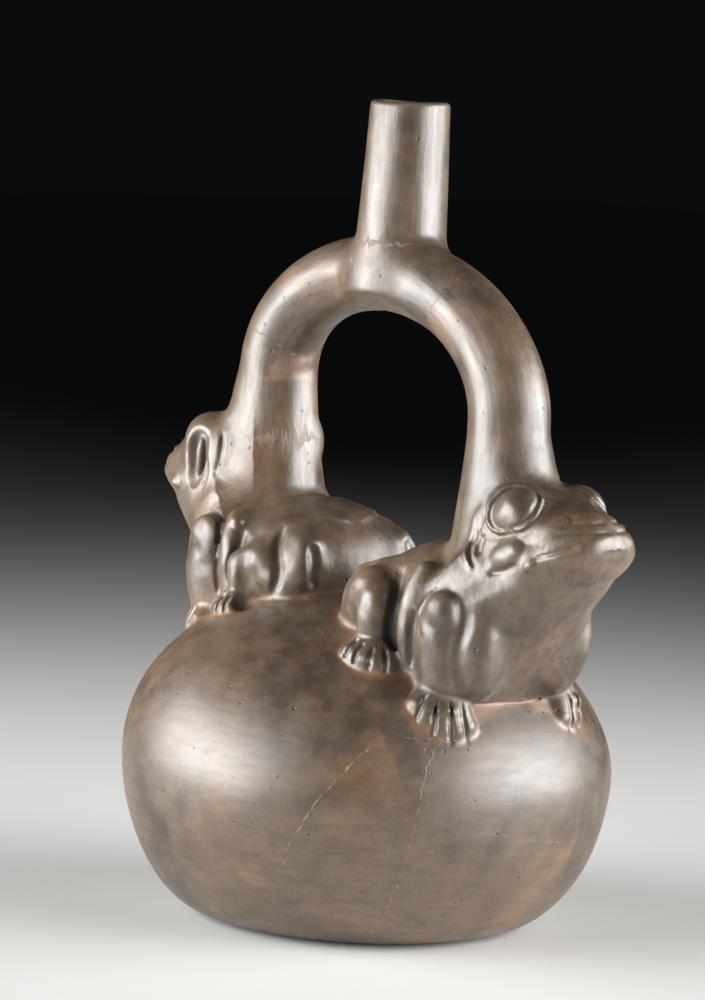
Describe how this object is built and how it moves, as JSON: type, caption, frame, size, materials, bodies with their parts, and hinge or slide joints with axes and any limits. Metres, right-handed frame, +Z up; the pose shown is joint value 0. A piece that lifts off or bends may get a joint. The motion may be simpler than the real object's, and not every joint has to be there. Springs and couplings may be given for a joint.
{
  "type": "stirrup spout vessel",
  "caption": "Hollow clay vessel: squat round pot, a pair of toads back to back on its shoulder, and a tubular stirrup handle that rises from their backs into one straight spout.",
  "frame": {"origin": "centre of the pot's flat foot, where it stands", "axes": "+Z up through the spout; +X along the line of the two toads, towards the lower one's snout"},
  "size_m": [0.1964, 0.1476, 0.245],
  "materials": {
    "burnished_clay": "burnished, smoke-fired clay, grey-brown with orange and olive clouding"
  },
  "bodies": {
    "root": {"vessel": "burnished_clay"}
  },
  "joints": []
}
